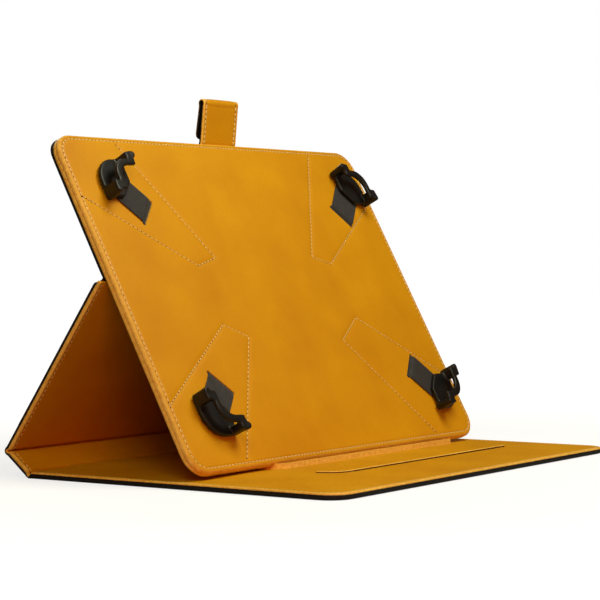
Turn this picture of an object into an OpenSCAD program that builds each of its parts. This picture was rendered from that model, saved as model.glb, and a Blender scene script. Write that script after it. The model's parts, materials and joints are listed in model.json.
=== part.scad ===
// Folding leather tablet case, standing open as an easel. X runs along the folds, -Y is the
// front cover's free edge, +Z is up, and the front cover lies on the table at Z = 0.
// Each panel is drawn in its own frame: x along the fold, y away from the fold, z towards
// the lined inner side, with z = 0 at the fold's axis.

/* [Cover] */
// Width of the case along its folds
case_w = 300; // [280:1:320]
// Depth of the front cover, from the front fold to its free edge
front_d = 211; // [200:1:230]
// Thickness of the front cover, which holds the card pockets
front_t = 5; // [4.6:0.1:6]
// Thickness of the spine and of the lower rear cover
rear_t = 3.8; // [3.4:0.1:4.2]
// Thickness of the upper rear cover, which is glued to the holder
upper_t = 2.2; // [2:0.1:3]
// Thickness of the outer leather
skin_t = 1; // [0.8:0.1:1.2]
// Height of the black outer shell's turned edge on the front cover
front_shell_t = 2.7; // [2.4:0.1:3]
// Height of the black outer shell's turned edge on the spine and lower rear cover
rear_shell_t = 1.8; // [1.6:0.1:2]
// Radius of the free corners
corner_r = 14; // [9:1:16]
// Length of the spine between its two folds
spine_len = 21; // [18:1:24]
// Length of the lower rear cover between its two folds
lower_len = 120.25; // [115:0.25:124]

/* [Stand] */
// Rise of the spine above the table
spine_tilt = 38; // [35:1:40]
// Direction of the lower rear cover, from the table at the rear
lower_tilt = 125.7; // [124.5:0.1:127]
// Place of the front fold behind the part's origin
front_fold_y = 96.6; // [90:0.1:102]

/* [Holder] */
// Width of the holder panel along the folds
holder_w = 294; // [280:1:298]
// Offset of the holder panel's middle from the cover's middle, along the folds
holder_shift = 1; // [-1:0.5:1]
// Depth of the holder panel, from its lower to its upper edge
holder_d = 210.5; // [205:0.5:220]
// How far the holder reaches below the middle fold
holder_below = 119.75; // [115:0.25:124]
// Thickness of the holder panel
holder_t = 5.6; // [5.2:0.1:7]
// Height of the holder's back shell, which wraps its board
holder_back_t = 2.6; // [2.2:0.1:3]
// Thickness of the leather over the foam pad
pad_skin_t = 1; // [0.8:0.1:1.2]

/* [Tablet grips] */
// Width of the tablet that the grips are set for
tablet_w = 254; // [240:1:256]
// Height of that tablet
tablet_d = 165.5; // [155:0.5:168]
// Thickness of that tablet
tablet_t = 6.3; // [5.5:0.1:7]
// Radius of that tablet's corners
tablet_r = 11; // [9:0.5:12]
// Offset of the tablet's middle from the holder's middle, along the folds
tablet_shift_x = 5; // [0:0.5:6]
// Offset of the tablet's middle above the holder's middle
tablet_shift_y = 0.5; // [0:0.5:2]
// Gap between the panel's face and the tablet's back
tablet_lift = 4.5; // [4:0.1:5]
// How far a grip's arm stands out beyond the tablet's edge
grip_wall = 4.5; // [3.5:0.5:5]
// Length of a grip's arm along the tablet's edge
grip_arm = 22; // [20:1:28]
// Width of the corner lip over the tablet's face
lip_w = 3.5; // [3:0.5:4]
// Width of the elastic bands
band_w = 20; // [16:1:22]

/* [Closure strap] */
// Width of the closure strap
strap_w = 35; // [30:0.5:40]
// Offset of the strap's middle from the holder's middle, along its upper edge
strap_x = 12.5; // [0:0.5:40]
// Length of the strap's upright part
strap_len = 27; // [24:0.5:32]
// Thickness of the upright part
strap_t = 2.2; // [2:0.1:2.6]
// Thickness of the folded end
strap_end_t = 1.6; // [1.4:0.1:1.8]
// Forward bend of the strap away from the holder's plane
strap_bend = 34; // [28:1:38]
// Opening of the folded end away from the upright part
strap_gape = 3.5; // [3:0.5:6]

/* [Card pockets] */
// Left end of the card slots
slot_x0 = -77; // [-90:1:-60]
// Right end of the card slots
slot_x1 = 109; // [90:1:120]
// Distance of the front slot from the cover's free edge
slot_front_y = 51; // [45:1:55]
// Distance between the two slots
slot_pitch = 40; // [35:1:45]
// Width of a slot's cut
slot_w = 1.2; // [1:0.1:1.6]
// Radius of the slot's curved left end
slot_r = 14; // [10:1:16]
// Depth of a card pocket behind its slot
pocket_d = 55; // [50:1:57]
// Thickness of a pocket's lining sheet
pocket_t = 0.4; // [0.3:0.05:0.5]

/* [Hidden] */
$fn = 48;

eps = 0.01;
pivot_h = 1.6;              // height of the front and rear fold axes above the outer face
clear = 0.3;                // gap between panels that lie on each other
front_gap = 1.6;            // setback of the boards at the front fold
rear_gap = 2.6;             // setback at the rear fold
mid_gap = 3.2;              // setback at the middle fold
square_r = 1;               // radius of the corners beside a fold
lining_inset = 0.5;         // the lining lies this far inside the shell's edge
bead_r = 1.3;               // radius of the rolled leather in a fold
mid_bead_r = 2.2;           // radius of the half roll in the middle fold
upper_inset = 0.6;          // the upper rear cover lies this far inside the holder's edge
upper_r = 12;               // radius of its upper corners
holder_y0 = -holder_below;   // holder's lower and upper edges, from the middle fold
holder_y1 = holder_d - holder_below;
holder_z = rear_t - pivot_h + clear;   // holder's back plane, in the lower cover's frame

rear_fold_y = front_fold_y + spine_len * cos(spine_tilt);
rear_fold_z = pivot_h + spine_len * sin(spine_tilt);
mid_fold_y = rear_fold_y + lower_len * cos(lower_tilt) - holder_z * sin(lower_tilt);
mid_fold_z = rear_fold_z + lower_len * sin(lower_tilt) + holder_z * cos(lower_tilt);
// the holder's lower edge comes to rest just above the front cover
holder_tilt = asin((mid_fold_z - front_t - clear) / holder_below);

lift_z = holder_t + tablet_lift;       // tablet's back, above the holder's back plane
band_t = 1.2;
base_z = holder_t + clear + band_t;    // underside of a grip's base
lip_z = lift_z + tablet_t + 0.2;       // underside of a grip's lip
lip_t = 1.4;
post_start = 14;                       // where a grip's arm starts, from the tablet's corner
diagonal_cut = 30;                     // the base ends where its two legs add up to this
grip_inset = 0.3;                      // gap between the base and the tablet's back
exit_d = 40;                           // where a band comes out of the pad, from the corner
anchor_d = 86;                         // where its sewn end lies
exit_gap = 2.2;
band_seat = 8;                         // where the band ends under the grip

strap_root_gap = 2.5;                  // from the holder's upper edge to the strap's root bend
strap_pivot_y = holder_y1 + strap_root_gap;
strap_pivot_z = -upper_t / 2;
strap_bead_r = 1.1;
strap_gap = 1.5;                       // setback of the strap's layers from its bends
strap_lining_t = 0.9;
strap_core_t = 0.5;
strap_fold_y = strap_len - 0.4;
strap_fold_z = -strap_t / 2 - 0.25;
strap_end_len = 23;
strap_end_lining_t = 0.7;
tongue_len = 14;
tongue_t = 0.8;
magnet = [24, 9, 0.5];
strike = [28, 16, 0.8];
strike_y = 18;                         // from the front cover's free edge to the plate's middle
magnet_margin = 8;                     // from the magnet's lower edge to the folded end's edge

leather_black = "#1b1a1c";
leather_orange = "#d98a10";
greyboard = "#8d8a84";
grip_black = "#101012";
elastic_black = "#222226";
foam = "#5a5a58";
steel = "#a8abae";

// ---- frames ----
module at_front() { translate([0, front_fold_y, pivot_h]) children(); }
module at_spine() {
  translate([0, front_fold_y, pivot_h]) rotate([spine_tilt, 0, 0]) children();
}
module at_lower() {
  translate([0, rear_fold_y, rear_fold_z]) rotate([lower_tilt, 0, 0]) children();
}
module at_holder() {
  translate([holder_shift, mid_fold_y, mid_fold_z]) rotate([holder_tilt, 0, 0]) children();
}
module at_strap() {
  at_holder() translate([strap_x, strap_pivot_y, strap_pivot_z])
    rotate([strap_bend, 0, 0]) children();
}
// y runs down the folded end from the strap's top bend, z towards the upright part
module at_strap_end() {
  at_strap() translate([0, strap_fold_y, strap_fold_z])
    rotate([180 + strap_gape, 0, 0]) mirror([0, 0, 1]) children();
}
// in the holder's frame: x and y run inwards along the tablet's edges from one of its corners
module from_corner(side, end) {
  translate([
    tablet_shift_x + side * tablet_w / 2,
    (holder_y0 + holder_y1 + end * tablet_d) / 2 + tablet_shift_y,
    0
  ])
    mirror([side > 0 ? 1 : 0, 0, 0]) mirror([0, end > 0 ? 1 : 0, 0]) children();
}
module at_corner(side, end) { at_holder() from_corner(side, end) children(); }

// ---- shared shapes ----
// a panel from y0 to y1 with its own corner radius at each end
module outline(w, y0, y1, r0, r1) {
  union() {
    translate([-w / 2, y0 + r0]) square([w, y1 - y0 - r0 - r1]);
    translate([-w / 2 + r0, y0]) square([w - 2 * r0, r0 + eps]);
    translate([-w / 2 + r1, y1 - r1 - eps]) square([w - 2 * r1, r1 + eps]);
    for (side = [-1, 1]) {
      translate([side * (w / 2 - r0), y0 + r0]) circle(r0);
      translate([side * (w / 2 - r1), y1 - r1]) circle(r1);
    }
  }
}
module panel(w, y0, y1, z0, z1, r0, r1, inset = 0) {
  translate([0, 0, z0]) linear_extrude(z1 - z0)
    outline(w - 2 * inset, y0 + inset, y1 - inset, max(r0 - inset, 0.5), max(r1 - inset, 0.5));
}
// leather wrapped round a board: a tray that is open towards +z
module wrapped(w, y0, y1, z0, z1, r0, r1, t) {
  difference() {
    panel(w, y0, y1, z0, z1, r0, r1);
    panel(w, y0, y1, z0 + t, z1 + 1, r0, r1, t);
  }
}
// a block by its lowest and highest corners
module block(low, high) { translate(low) cube(high - low); }
// a rolled edge of leather along a fold
module bead(w, r) { translate([-w / 2, 0, 0]) rotate([0, 90, 0]) cylinder(h = w, r = r); }

// ---- front cover ----
front_y0 = -front_d;
front_y1 = -front_gap;
module front_outer_skin() {
  color(leather_black) at_front()
    wrapped(case_w, front_y0, front_y1, -pivot_h, front_shell_t - pivot_h, corner_r, square_r,
      skin_t);
}
module front_board() {
  color(greyboard) at_front() difference() {
    panel(case_w, front_y0, front_y1, skin_t - pivot_h, front_shell_t - pivot_h, corner_r,
      square_r, skin_t);
    strike_block();
  }
}
// the strap's magnet lands over this plate when the case is closed
module strike_block() {
  translate([strap_x, front_y0 + strike_y, skin_t - pivot_h + strike[2] / 2])
    cube(strike, center = true);
}
module closure_strike_plate() { color(steel) at_front() strike_block(); }

front_slot_y = front_y0 + slot_front_y;
// each slot is a straight cut that curves back at its left end
module slot_cut(y) {
  translate([0, y, pocket_t]) {
    block([slot_x0 + slot_r, -slot_w / 2, 0], [slot_x1, slot_w / 2, front_t]);
    translate([slot_x0 + slot_r, slot_r, 0]) intersection() {
      difference() {
        cylinder(h = front_t, r = slot_r + slot_w / 2);
        translate([0, 0, -1]) cylinder(h = front_t + 2, r = slot_r - slot_w / 2);
      }
      translate([-2 * slot_r, -2 * slot_r, 0]) cube([2 * slot_r, 2 * slot_r, front_t]);
    }
  }
}
module pocket(y, z, t) {
  margin = 4;
  translate([0, y, 0])
    block([slot_x0 - margin, -margin, z], [slot_x1 + margin, pocket_d, z + t]);
}
shell_top = front_shell_t - pivot_h;
module front_lining() {
  color(leather_orange) at_front() difference() {
    panel(case_w, front_y0, front_y1, shell_top, front_t - pivot_h, corner_r, square_r,
      lining_inset);
    for (i = [0, 1]) {
      translate([0, 0, shell_top]) slot_cut(front_slot_y + i * slot_pitch);
      pocket(front_slot_y + i * slot_pitch, shell_top - eps, pocket_t * (i + 1) + eps);
    }
  }
}
module card_pocket_front() {
  color(leather_orange) at_front() pocket(front_slot_y, shell_top, pocket_t);
}
module card_pocket_rear() {
  color(leather_orange) at_front() difference() {
    pocket(front_slot_y + slot_pitch, shell_top, 2 * pocket_t);
    pocket(front_slot_y, shell_top - eps, pocket_t + eps);
  }
}
module front_fold_bead() { color(leather_black) at_front() bead(case_w - 2, bead_r); }

// ---- spine ----
spine_y0 = front_gap;
spine_y1 = spine_len - rear_gap;
rear_shell_top = rear_shell_t - pivot_h;
module spine_outer_skin() {
  color(leather_black) at_spine()
    wrapped(case_w, spine_y0, spine_y1, -pivot_h, rear_shell_top, square_r, square_r, skin_t);
}
module spine_board() {
  color(greyboard) at_spine()
    panel(case_w, spine_y0, spine_y1, skin_t - pivot_h, rear_shell_top, square_r, square_r, skin_t);
}
module spine_lining() {
  color(leather_orange) at_spine()
    panel(case_w, spine_y0, spine_y1, rear_shell_top, rear_t - pivot_h, square_r, square_r,
      lining_inset);
}
module rear_fold_bead() { color(leather_black) at_lower() bead(case_w - 2, bead_r); }

// ---- lower rear cover ----
lower_y0 = rear_gap;
lower_y1 = lower_len - mid_gap;
module rear_lower_skin() {
  color(leather_black) at_lower()
    wrapped(case_w, lower_y0, lower_y1, -pivot_h, rear_shell_top, square_r, square_r, skin_t);
}
module rear_lower_board() {
  color(greyboard) at_lower()
    panel(case_w, lower_y0, lower_y1, skin_t - pivot_h, rear_shell_top, square_r, square_r, skin_t);
}
module rear_lower_lining() {
  color(leather_orange) at_lower()
    panel(case_w, lower_y0, lower_y1, rear_shell_top, rear_t - pivot_h, square_r, square_r,
      lining_inset);
}

// ---- upper rear cover, glued to the holder's back ----
upper_y0 = mid_gap;
upper_w = holder_w - 2 * upper_inset;
module mid_fold_bead() {
  color(leather_black) at_holder() intersection() {
    bead(upper_w, mid_bead_r);
    block([-case_w, -mid_bead_r, -mid_bead_r], [case_w, mid_bead_r, 0]);
  }
}
module tongue_block() {
  translate([strap_x, holder_y1 - tongue_len / 2, strap_pivot_z])
    cube([strap_w, tongue_len, tongue_t], center = true);
}
module rear_upper_skin() {
  color(leather_black) at_holder() difference() {
    wrapped(upper_w, upper_y0, holder_y1, -upper_t, 0, square_r, upper_r, skin_t);
    tongue_block();
  }
}
module rear_upper_board() {
  color(greyboard) at_holder() difference() {
    panel(upper_w, upper_y0, holder_y1, skin_t - upper_t, 0, square_r, upper_r, skin_t);
    tongue_block();
  }
}
module strap_tongue() { color(leather_black) at_holder() tongue_block(); }

// ---- holder ----
module holder_back_cover() {
  color(leather_orange) at_holder()
    wrapped(holder_w, holder_y0, holder_y1, 0, holder_back_t, corner_r, corner_r, skin_t);
}
module holder_board() {
  color(greyboard) at_holder()
    panel(holder_w, holder_y0, holder_y1, skin_t, holder_back_t, corner_r, corner_r, skin_t);
}
pad_top = holder_t - pad_skin_t;
module each_corner() {
  for (side = [-1, 1]) for (end = [-1, 1]) from_corner(side, end) children();
}
// a flat band along the corner's diagonal, between two distances from the corner
module diagonal_band(d0, d1, z0, z1, w) {
  rotate([0, 0, 45]) block([d0, -w / 2, z0], [d1, w / 2, z1]);
}
module band_exit() {
  diagonal_band(exit_d - exit_gap / 2, exit_d + exit_gap / 2, 0, holder_t + 1, band_w + 1.5);
}
module band_channel() {
  diagonal_band(exit_d - exit_gap / 2, anchor_d + 1, 0, holder_back_t + band_t + 0.2, band_w + 1.5);
}
module holder_pad() {
  color(foam) at_holder() difference() {
    panel(holder_w, holder_y0, holder_y1, holder_back_t, pad_top, corner_r, corner_r, pad_skin_t);
    each_corner() {
      band_exit();
      band_channel();
    }
  }
}
module holder_front_cover() {
  color(leather_orange) at_holder() difference() {
    panel(holder_w, holder_y0, holder_y1, holder_back_t, holder_t, corner_r, corner_r);
    panel(holder_w, holder_y0, holder_y1, holder_back_t - 1, pad_top, corner_r, corner_r,
      pad_skin_t);
    each_corner() band_exit();
  }
}
// the sewn inner ends of the four bands, which turn up through the pad
module elastic_anchors() {
  color(elastic_black) at_holder() each_corner() {
    diagonal_band(exit_d - band_t / 2, anchor_d, holder_back_t, holder_back_t + band_t, band_w);
    diagonal_band(exit_d - band_t / 2, exit_d + band_t / 2, holder_back_t, holder_t, band_w);
  }
}

// ---- corner grips ----
// the tablet's own corner, grown by an offset
module corner_shape(grow, reach) {
  union() {
    translate([tablet_r, tablet_r]) circle(tablet_r + grow);
    translate([tablet_r, -grow]) square([reach - tablet_r, reach + grow]);
    translate([-grow, tablet_r]) square([reach + grow, reach - tablet_r]);
  }
}
// the two arms that stand beside the tablet's edges, round at their ends
module arms() {
  half = grip_wall / 2;
  for (flip = [0, 1]) mirror([flip, -flip, 0]) {
    translate([post_start, -grip_wall]) square([grip_arm - half - post_start, grip_wall]);
    translate([grip_arm - half, -half]) circle(half);
  }
}
module base_shape() {
  union() {
    intersection() {
      corner_shape(grip_wall, grip_arm - grip_wall / 2);
      polygon([
        [-grip_wall, -grip_wall], [diagonal_cut + grip_wall, -grip_wall],
        [-grip_wall, diagonal_cut + grip_wall]
      ]);
    }
    arms();
  }
}
module lip_shape() {
  reach = grip_arm - grip_wall / 2;
  union() {
    difference() {
      corner_shape(0, reach);
      translate([lip_w, lip_w]) corner_shape(-1, 2 * reach);
      translate([reach, lip_w]) square(reach);
      translate([lip_w, reach]) square(reach);
    }
    arms();
  }
}
module grip() {
  union() {
    translate([0, 0, base_z]) linear_extrude(lift_z - grip_inset - base_z) base_shape();
    translate([0, 0, base_z]) linear_extrude(lip_z - base_z + eps) arms();
    translate([0, 0, lip_z]) linear_extrude(lip_t) lip_shape();
  }
}
module elastic_band() { diagonal_band(band_seat, exit_d, base_z - band_t, base_z, band_w); }

module grip_lower_left() { color(grip_black) at_corner(-1, -1) grip(); }
module grip_lower_right() { color(grip_black) at_corner(1, -1) grip(); }
module grip_upper_left() { color(grip_black) at_corner(-1, 1) grip(); }
module grip_upper_right() { color(grip_black) at_corner(1, 1) grip(); }
module elastic_lower_left() { color(elastic_black) at_corner(-1, -1) elastic_band(); }
module elastic_lower_right() { color(elastic_black) at_corner(1, -1) elastic_band(); }
module elastic_upper_left() { color(elastic_black) at_corner(-1, 1) elastic_band(); }
module elastic_upper_right() { color(elastic_black) at_corner(1, 1) elastic_band(); }

// ---- closure strap ----
strap_y1 = strap_fold_y - strap_gap;
strap_skin_top = strap_t / 2 - strap_lining_t - strap_core_t;
module strap_layer(y0, y1, z0, z1) { block([-strap_w / 2, y0, z0], [strap_w / 2, y1, z1]); }
module strap_bead() { color(leather_black) at_strap() bead(strap_w - 1, strap_bead_r); }
module strap_outer_skin() {
  color(leather_black) at_strap() strap_layer(strap_gap, strap_y1, -strap_t / 2, strap_skin_top);
}
module strap_core() {
  color(greyboard) at_strap()
    strap_layer(strap_gap, strap_y1, strap_skin_top, strap_skin_top + strap_core_t);
}
module strap_lining() {
  color(leather_orange) at_strap()
    strap_layer(strap_gap, strap_y1, strap_t / 2 - strap_lining_t, strap_t / 2);
}
module strap_top_bead() {
  color(leather_orange) at_strap() translate([0, strap_fold_y, strap_fold_z])
    bead(strap_w - 1, strap_bead_r);
}
strap_end_z = 0.25;
magnet_y = strap_end_len - magnet_margin;
module magnet_block() {
  translate([0, magnet_y, -strap_end_z - strap_end_t + strap_end_lining_t])
    translate([-magnet[0] / 2, -magnet[1] / 2, 0]) cube(magnet);
}
module strap_end_skin() {
  color(leather_black) at_strap_end() difference() {
    strap_layer(strap_gap, strap_end_len, -strap_end_z - strap_end_t + strap_end_lining_t,
      -strap_end_z);
    magnet_block();
  }
}
module strap_magnet() { color(steel) at_strap_end() magnet_block(); }
module strap_end_lining() {
  color(leather_orange) at_strap_end()
    strap_layer(strap_gap, strap_end_len, -strap_end_z - strap_end_t,
      -strap_end_z - strap_end_t + strap_end_lining_t);
}

front_outer_skin();
front_board();
front_lining();
card_pocket_front();
card_pocket_rear();
closure_strike_plate();
front_fold_bead();
spine_outer_skin();
spine_board();
spine_lining();
rear_fold_bead();
rear_lower_skin();
rear_lower_board();
rear_lower_lining();
mid_fold_bead();
rear_upper_skin();
rear_upper_board();
holder_back_cover();
holder_board();
holder_pad();
holder_front_cover();
elastic_anchors();
grip_lower_left();
grip_lower_right();
grip_upper_left();
grip_upper_right();
elastic_lower_left();
elastic_lower_right();
elastic_upper_left();
elastic_upper_right();
strap_tongue();
strap_bead();
strap_outer_skin();
strap_core();
strap_lining();
strap_top_bead();
strap_end_skin();
strap_end_lining();
strap_magnet();
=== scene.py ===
import json
import math

import bmesh
import bpy
import numpy as np
from mathutils import Matrix, Vector


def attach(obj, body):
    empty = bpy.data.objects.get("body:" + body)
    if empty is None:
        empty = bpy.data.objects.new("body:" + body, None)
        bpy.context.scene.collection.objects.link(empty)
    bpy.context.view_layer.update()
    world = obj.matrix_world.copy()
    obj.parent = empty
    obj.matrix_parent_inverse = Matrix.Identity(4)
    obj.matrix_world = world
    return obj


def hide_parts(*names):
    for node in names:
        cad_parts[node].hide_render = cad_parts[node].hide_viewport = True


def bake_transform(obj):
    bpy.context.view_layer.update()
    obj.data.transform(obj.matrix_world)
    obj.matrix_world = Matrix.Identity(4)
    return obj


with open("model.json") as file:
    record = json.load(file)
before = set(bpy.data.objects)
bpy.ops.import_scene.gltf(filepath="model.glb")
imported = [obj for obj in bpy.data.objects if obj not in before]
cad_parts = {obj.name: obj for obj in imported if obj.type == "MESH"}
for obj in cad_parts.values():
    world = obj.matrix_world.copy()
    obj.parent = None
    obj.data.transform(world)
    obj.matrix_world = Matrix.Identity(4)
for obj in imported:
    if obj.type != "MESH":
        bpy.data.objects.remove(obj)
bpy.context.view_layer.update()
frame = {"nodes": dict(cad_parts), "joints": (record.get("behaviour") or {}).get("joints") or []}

# ======================================================================================
# Outer leather. One sheet of black grained leather, skived to 1 mm, is turned round the
# boards and runs on over all three folds. Each length bends at one fold, and the upper
# length is glued to the holder's back.
# ======================================================================================
MM = 0.001
CASE_WIDTH = 300
FRONT_DEPTH = 211
SPINE_LENGTH = 21
LOWER_LENGTH = 120.25
SKIN = 1.0
OUTER_FACE = -1.6
SKIN_FLOOR = OUTER_FACE + SKIN
FRONT_RIM = 1.1
REAR_RIM = 0.2
HOLDER_HEIGHT = 2.5
CORNER = 14
OUTER_EDGE = 1.25
RIM_EDGE = 0.4
FRONT_REACH = 2.2
REAR_REACH = 2.6
MIDDLE_REACH = 5.0
EDGE_INSETS = (0, 0.05, 0.2, 0.45, 0.8, 1.0, 1.04, 1.3, 1.7, 2.1, 2.45, 2.75, 3.05, 3.4,
               3.9, 4.6, 5.6, 7.2, 9.4)


def joint_at(name):
    """Where a joint's axis crosses the y-z plane, in millimetres."""
    joint = next(j for j in frame["joints"] if j["name"] == name)
    return np.array(joint["pos_m"][1:]) / MM


def direction(start, end):
    return math.atan2(end[1] - start[1], end[0] - start[0])


class Plate:
    """A panel's own frame: x along the folds, y across the panel, z towards its lined side."""

    def __init__(self, origin, tilt, x=0.0):
        self.origin, self.tilt, self.x = origin, tilt, x

    def place(self, points):
        x, y, z = np.asarray(points, float).T
        c, s = math.cos(self.tilt), math.sin(self.tilt)
        return np.stack([x + self.x, self.origin[0] + y * c - z * s,
                         self.origin[1] + y * s + z * c], 1)


def smooth(t):
    t = np.clip(t, 0, 1)
    return t * t * (3 - 2 * t)


def folded(points, pivot, angle, reach):
    """Bends flat leather about a fold, from straight at -reach to fully turned at +reach."""
    x, y, z = np.asarray(points, float).T
    y, z = y - pivot[0], z - pivot[1]
    turn = smooth((y + reach) / (2 * reach)) * angle
    c, s = np.cos(turn), np.sin(turn)
    return np.stack([x, pivot[0] + y * c - z * s, pivot[1] + y * s + z * c], 1)


def grid_lines(low, high, step, free_low, free_high, extra=()):
    """Lines across a panel, close together at its free edges and wherever extra ones are."""
    head = [low + i for i in EDGE_INSETS] if free_low else [low]
    tail = [high - i for i in EDGE_INSETS] if free_high else [high]
    count = max(1, math.ceil((tail[-1] - head[-1]) / step))
    even = np.linspace(head[-1], tail[-1], count + 1)[1:-1]
    extra = np.array([e for e in extra if low < e < high])
    if len(extra):
        even = [v for v in even if np.abs(extra - v).min() > 0.3 * step]
    return np.array(sorted(set(np.round([*head, *tail, *even, *extra], 4))))


def leather_grid(width, y_low, y_high, step, corner_low=None, corner_high=None, extra=()):
    """A panel's grid with rounded free corners: x, y and the distance from the free edge."""
    xs = grid_lines(-width / 2, width / 2, step, True, True)
    ys = grid_lines(y_low, y_high, step, corner_low is not None, corner_high is not None, extra)
    x, y = np.meshgrid(xs, ys)
    side = width / 2 - np.abs(x)
    inset = side.copy()
    for radius, gap, base, sign in ((corner_low, y - y_low, y_low, 1),
                                    (corner_high, y_high - y, y_high, -1)):
        if radius is None:
            continue
        inset = np.minimum(inset, gap)
        near = (side < radius) & (gap < radius)
        ring = np.minimum(side, gap)[near]
        turn = (radius - np.maximum(side, gap)[near]) / (radius - ring) * math.pi / 4
        close = radius - (radius - ring) * np.cos(turn)
        far = radius - (radius - ring) * np.sin(turn)
        by_side = side[near] < gap[near]
        x[near] = np.sign(x[near]) * (width / 2 - np.where(by_side, close, far))
        y[near] = base + sign * np.where(by_side, far, close)
    return x, y, inset


def rounding(inset, radius):
    """How far a rounded edge falls away, at a distance from the edge."""
    left = np.clip(radius - inset, 0, radius)
    return radius - np.sqrt(np.maximum(radius ** 2 - left ** 2, 0))


def seam(inset, at, width, depth):
    """The furrow that a row of stitches pulls into the leather."""
    return depth * np.exp(-((inset - at) / width) ** 2)


def build(name, points, faces, material, sharp=40.0, edge_highlight_distance=None):
    """A smooth-shaded object from points in millimetres."""
    mesh = bpy.data.meshes.new(name)
    mesh.from_pydata((np.asarray(points) * MM).tolist(), [], faces)
    mesh.validate()
    for one in material if isinstance(material, (list, tuple)) else [material]:
        mesh.materials.append(one)
    mesh.polygons.foreach_set("use_smooth", [True] * len(mesh.polygons))
    mesh.set_sharp_from_angle(angle=math.radians(sharp))
    # The distance from the free edge, which the leathers read for their painted edge highlight.
    if edge_highlight_distance is not None:
        layer = mesh.attributes.new("edge_distance", "FLOAT", "POINT")
        layer.data.foreach_set("value", np.asarray(edge_highlight_distance, np.float32))
    made = bpy.data.objects.new(name, mesh)
    bpy.context.scene.collection.objects.link(made)
    return made


def leather_piece(name, grid, top, bottom, place, material):
    """A closed piece of leather between two surfaces over one grid."""
    x, y, inset = grid
    rows, columns = x.shape
    count = rows * columns
    index = np.arange(count).reshape(rows, columns)
    quads = np.stack([index[:-1, :-1], index[:-1, 1:], index[1:, 1:], index[1:, :-1]], -1)
    quads = quads.reshape(-1, 4)
    loop = np.concatenate([index[0, :-1], index[:-1, -1], index[-1, :0:-1], index[:0:-1, 0]])
    following = np.roll(loop, -1)
    wall = np.stack([loop + count, following + count, following, loop], -1)
    faces = np.concatenate([quads, quads[:, ::-1] + count, wall])
    flat = np.concatenate([
        np.stack([x.ravel(), y.ravel(), top.ravel()], 1),
        np.stack([x.ravel(), y.ravel(), bottom.ravel()], 1),
    ])
    return build(name, place(flat), faces.tolist(), material,
                 edge_highlight_distance=np.concatenate([inset.ravel(), inset.ravel()]))


class Value:
    """A socket's value in a material, so that its arithmetic is written as plain arithmetic."""

    def __init__(self, finish, socket):
        self.finish, self.socket = finish, socket

    def maths(self, operation, first, second):
        return self.finish.node("Math", {"operation": operation}, {0: first, 1: second})

    def __add__(self, other):
        return self.maths("ADD", self, other)

    def __sub__(self, other):
        return self.maths("SUBTRACT", self, other)

    def __rsub__(self, other):
        return self.maths("SUBTRACT", other, self)

    def __mul__(self, other):
        return self.maths("MULTIPLY", self, other)

    def __pow__(self, other):
        return self.maths("POWER", self, other)

    __radd__ = __add__
    __rmul__ = __mul__


class Finish:
    """A procedural material with one Principled surface."""

    def __init__(self, name, **fixed):
        self.material = bpy.data.materials.new(name)
        self.material.use_nodes = True
        self.tree = self.material.node_tree
        self.tree.nodes.clear()
        self.surface = self.tree.nodes.new("ShaderNodeBsdfPrincipled")
        output = self.tree.nodes.new("ShaderNodeOutputMaterial")
        self.tree.links.new(self.surface.outputs[0], output.inputs[0])
        self.set(fixed)

    def set(self, values):
        for name, value in values.items():
            self.feed(self.surface.inputs[name.replace("_", " ")], value)

    def feed(self, socket, value):
        if isinstance(value, Value):
            self.tree.links.new(value.socket, socket)
        else:
            socket.default_value = value

    def node(self, kind, settings=None, inputs=None, output=0):
        made = self.tree.nodes.new("ShaderNode" + kind)
        settings = dict(settings or {})
        stops = settings.pop("stops", None)
        for name, value in settings.items():
            setattr(made, name, value)
        if stops:
            ramp = made.color_ramp
            while len(ramp.elements) < len(stops):
                ramp.elements.new(0.5)
            for element, (position, shade) in zip(ramp.elements, stops):
                element.position = position
                element.color = shade if len(shade) == 4 else (*shade, 1)
        for key, value in (inputs or {}).items():
            self.feed(made.inputs[key], value)
        return Value(self, made.outputs[output])

    def place(self):
        return self.node("TexCoord", output=3)

    def noise(self, scale, detail=2.0, roughness=0.5):
        return self.node("TexNoise", {}, {"Vector": self.place(), "Scale": scale,
                                          "Detail": detail, "Roughness": roughness})

    def cells(self, scale, feature="F1"):
        return self.node("TexVoronoi", {"feature": feature},
                         {"Vector": self.place(), "Scale": scale})

    def ramp(self, value, *stops):
        return self.node("ValToRGB", {"stops": stops}, {0: value})

    def stretch(self, value, low, high, to_low=0.0, to_high=1.0):
        return self.node("MapRange", {"clamp": True},
                         {0: value, 1: low, 2: high, 3: to_low, 4: to_high})

    def blend(self, share, first, second):
        return self.node("Mix", {"data_type": "RGBA"}, {0: share, 6: first, 7: second}, 2)

    def bump(self, height, strength, distance, normal=None):
        inputs = {"Height": height, "Strength": strength, "Distance": distance}
        if normal is not None:
            inputs["Normal"] = normal
        return self.node("Bump", {}, inputs)

    def attribute(self, name):
        return self.node("Attribute", {"attribute_name": name}, {}, 2)


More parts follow.
